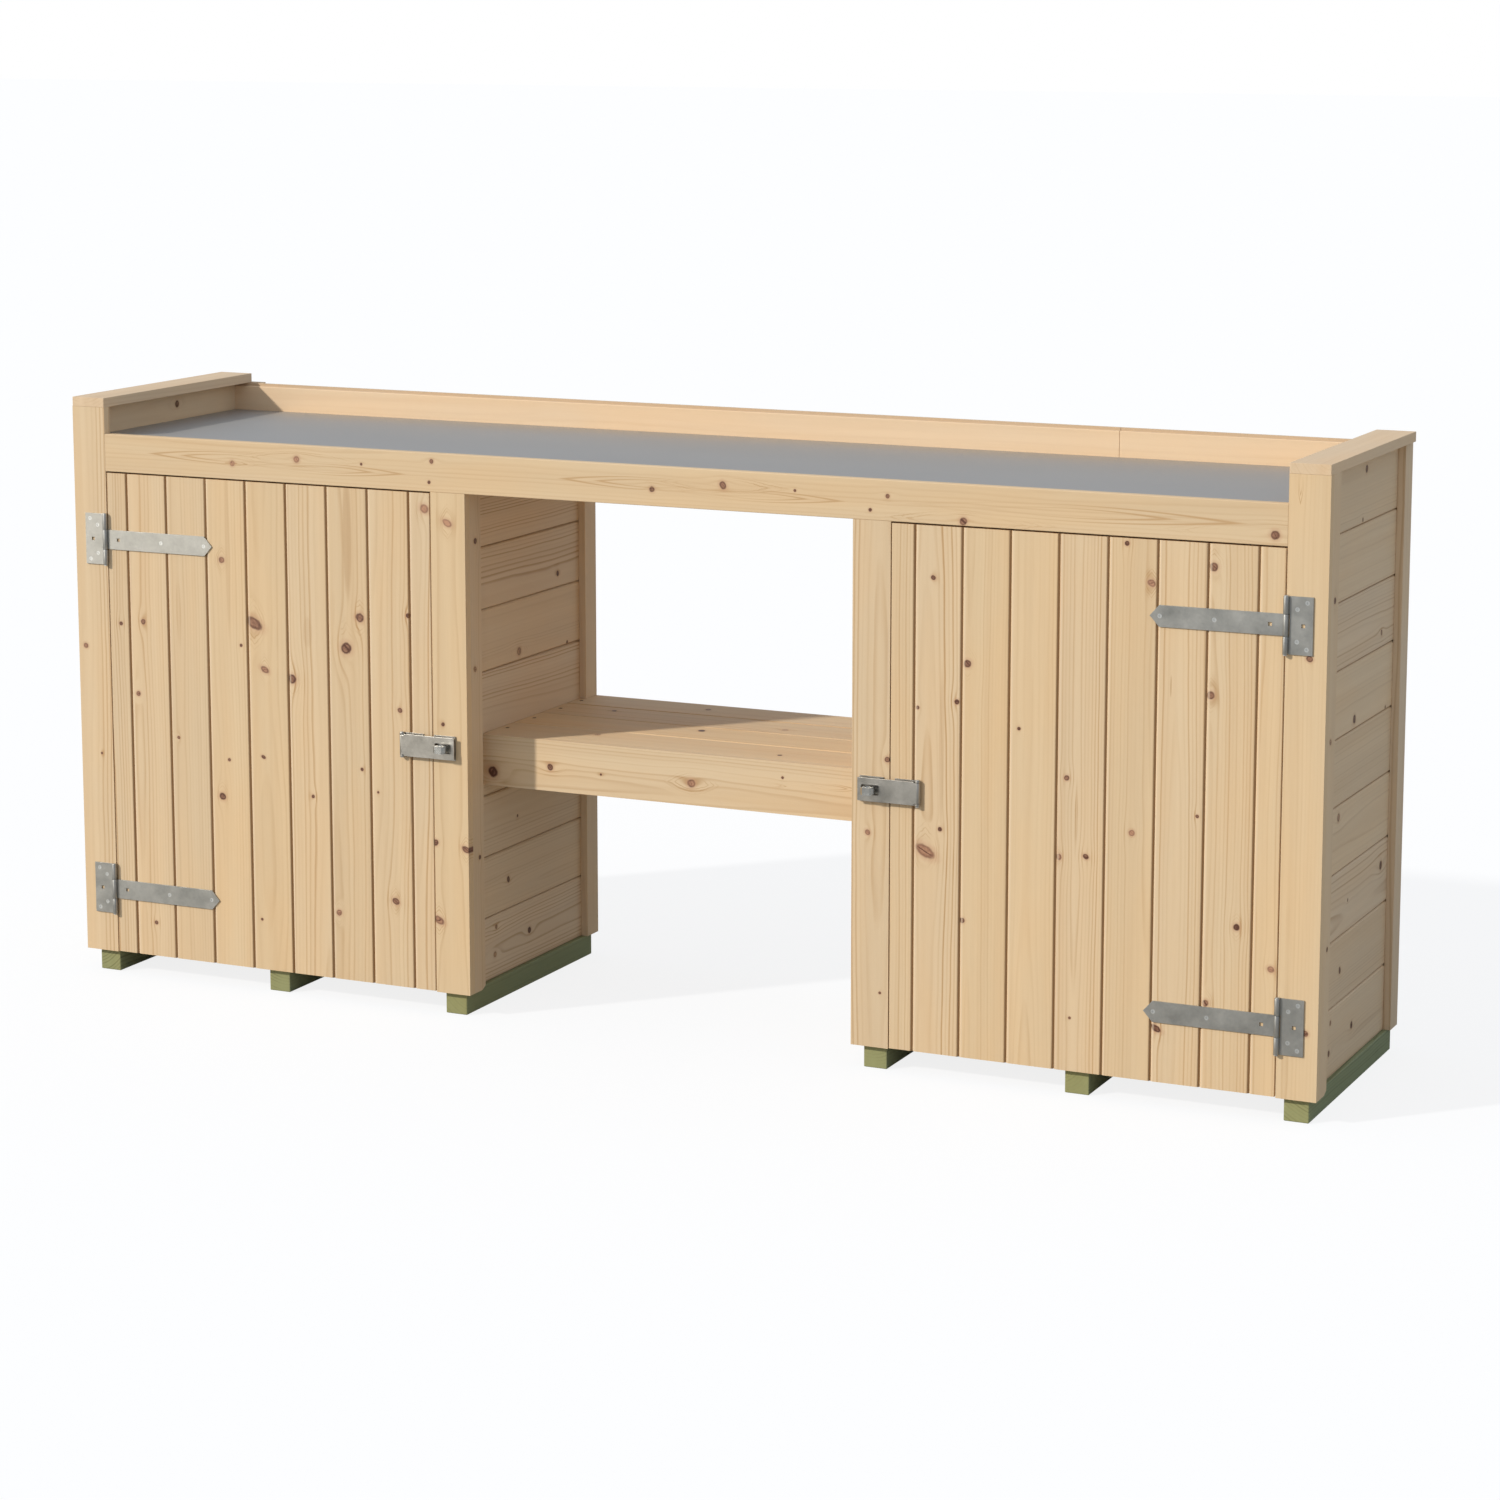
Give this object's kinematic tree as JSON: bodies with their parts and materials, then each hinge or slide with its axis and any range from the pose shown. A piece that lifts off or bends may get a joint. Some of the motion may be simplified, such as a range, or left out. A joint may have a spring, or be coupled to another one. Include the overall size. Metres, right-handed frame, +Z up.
{
  "type": "potting bench",
  "caption": "Long timber potting bench: two matchboard cupboards with hinged doors and padlock hasps, joined by a rimmed sheet-covered worktop and a low shelf.",
  "frame": {"origin": "on the ground, at the middle of the bench's overall footprint", "axes": "+X along the bench to the right as seen from the front, +Y to the rear, +Z up"},
  "size_m": [2.5, 0.571, 1.133],
  "materials": {
    "front_pine": "planed bare softwood with knots",
    "wall_pine": "planed bare softwood with knots",
    "batten_pine": "planed bare softwood",
    "green_timber": "sawn softwood, green pressure treatment",
    "zinc_sheet": "dull grey zinc sheet",
    "galvanised_steel": "galvanised pressed steel, mottled",
    "bright_steel": "bright zinc plated",
    "dark_screw": "dulled brown screw heads"
  },
  "bodies": {
    "bench": {"bearer_left_outer": "green_timber", "bearer_left_middle": "green_timber", "bearer_left_inner": "green_timber", "bearer_right_inner": "green_timber", "bearer_right_middle": "green_timber", "bearer_right_outer": "green_timber", "floor_left": "batten_pine", "floor_right": "batten_pine", "wall_left_outer": "wall_pine", "wall_left_inner": "wall_pine", "wall_right_inner": "wall_pine", "wall_right_outer": "wall_pine", "back_left": "wall_pine", "back_right": "wall_pine", "posts_left": "batten_pine", "posts_right": "batten_pine", "corner_left_outer": "front_pine", "corner_left_inner": "front_pine", "corner_right_inner": "front_pine", "corner_right_outer": "front_pine", "corner_strips_left": "wall_pine", "corner_strips_right": "wall_pine", "rear_corners_left": "wall_pine", "rear_corners_right": "wall_pine", "front_rail": "front_pine", "backboard": "wall_pine", "cap_left": "front_pine", "cap_right": "front_pine", "deck_battens": "batten_pine", "deck_boards": "batten_pine", "worktop_sheet": "zinc_sheet", "shelf_cleats": "batten_pine", "shelf_fascia": "front_pine", "shelf_rear_rail": "batten_pine", "shelf_boards": "wall_pine", "shelf_screws": "dark_screw", "hinge_leaves_left": "galvanised_steel", "hinge_leaves_right": "galvanised_steel", "hinge_pins_left": "bright_steel", "hinge_pins_right": "bright_steel", "eye_plate_left": "galvanised_steel", "eye_plate_right": "galvanised_steel", "frame_screws_left": "bright_steel", "frame_screws_right": "bright_steel"},
    "left_door": {"door_boards_left": "front_pine", "door_ledges_left": "batten_pine", "hinge_straps_left": "galvanised_steel", "hasp_leaf_left": "galvanised_steel", "hasp_pin_left": "bright_steel", "door_screws_left": "bright_steel"},
    "right_door": {"door_boards_right": "front_pine", "door_ledges_right": "batten_pine", "hinge_straps_right": "galvanised_steel", "hasp_leaf_right": "galvanised_steel", "hasp_pin_right": "bright_steel", "door_screws_right": "bright_steel"},
    "left_hasp": {"hasp_left": "galvanised_steel"},
    "right_hasp": {"hasp_right": "galvanised_steel"},
    "left_eye": {"turning_eye_left": "bright_steel"},
    "right_eye": {"turning_eye_right": "bright_steel"}
  },
  "joints": [
    {"name": "left_door_hinge", "type": "hinge", "parent": "bench", "child": "left_door", "pos_m": [-1.179, -0.2615, 0.5145], "axis": [0, 0, -1], "range_deg": [0, 175]},
    {"name": "right_door_hinge", "type": "hinge", "parent": "bench", "child": "right_door", "pos_m": [1.179, -0.2615, 0.5145], "axis": [0, 0, 1], "range_deg": [0, 175]},
    {"name": "left_hasp_hinge", "type": "hinge", "parent": "left_door", "child": "left_hasp", "pos_m": [-0.525, -0.2617, 0.513], "axis": [0, 0, -1], "range_deg": [0, 175]},
    {"name": "right_hasp_hinge", "type": "hinge", "parent": "right_door", "child": "right_hasp", "pos_m": [0.517, -0.2617, 0.513], "axis": [0, 0, 1], "range_deg": [0, 175]},
    {"name": "left_eye_turn", "type": "hinge", "parent": "bench", "child": "left_eye", "pos_m": [-0.436, -0.2685, 0.513], "axis": [0, 1, 0], "range_deg": [0, 90]},
    {"name": "right_eye_turn", "type": "hinge", "parent": "bench", "child": "right_eye", "pos_m": [0.428, -0.2685, 0.513], "axis": [0, 1, 0], "range_deg": [0, 90]}
  ]
}
